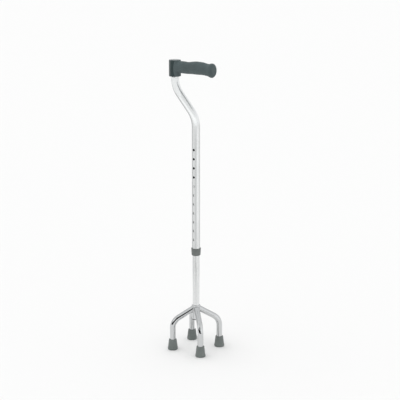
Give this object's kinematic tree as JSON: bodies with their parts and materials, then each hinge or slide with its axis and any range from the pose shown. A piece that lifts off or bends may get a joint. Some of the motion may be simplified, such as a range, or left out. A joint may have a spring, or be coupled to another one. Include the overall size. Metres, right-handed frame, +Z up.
{
  "type": "quad walking cane",
  "caption": "Offset-handle walking cane on a small four-legged base, with telescoping tubes and a spring button for height.",
  "frame": {"origin": "on the floor, on the axis of the straight shaft, which is the centre of the square of four feet", "axes": "+Z up along the shaft, +X from the handle's hub towards the end of its grip, -Y the side of the height holes and the button"},
  "size_m": [0.1474, 0.1236, 0.8156],
  "materials": {
    "satin_tube": "satin anodised, fine draw lines along the tube",
    "chrome": "bright chrome plate",
    "steel": "zinc plated",
    "button_steel": "polished pressed steel",
    "grey_plastic": "moulded, light satin",
    "tip_rubber": "matte moulded rubber",
    "black_plastic": "moulded nylon",
    "handle_plastic": "moulded, low satin",
    "grip_rubber": "soft touch moulding, fine texture"
  },
  "bodies": {
    "base": {"lower_tube": "satin_tube", "lower_tube_plug": "black_plastic", "base_sleeve": "chrome", "sleeve_plug": "black_plastic", "sleeve_rivet": "steel", "weld_fillet": "chrome", "button_spring": "steel", "leg_front_right": "chrome", "leg_rear_right": "chrome", "leg_rear_left": "chrome", "leg_front_left": "chrome", "tip_front_right": "tip_rubber", "tip_rear_right": "tip_rubber", "tip_rear_left": "tip_rubber", "tip_front_left": "tip_rubber", "tip_disc_front_right": "steel", "tip_disc_rear_right": "steel", "tip_disc_rear_left": "steel", "tip_disc_front_left": "steel"},
    "button": {"snap_button": "button_steel"},
    "upper": {"upper_tube": "satin_tube", "collar": "grey_plastic", "collar_bush": "black_plastic", "tube_insert": "black_plastic", "handle_screw": "steel", "handle_core": "handle_plastic", "hub_cap": "handle_plastic", "grip_sleeve": "grip_rubber"}
  },
  "joints": [
    {"name": "height_adjust", "type": "slide", "parent": "base", "child": "upper", "axis": [0, 0, 1], "range_m": [-0.1016, 0.1524], "deforming": ["snap_button", "button_spring"]},
    {"name": "snap_button_press", "type": "slide", "parent": "base", "child": "button", "axis": [0, 1, 0], "range_m": [0, 0.0042], "stiffness_N_per_m": 2000, "springref_m": -0.002, "deforming": ["button_spring"]}
  ]
}
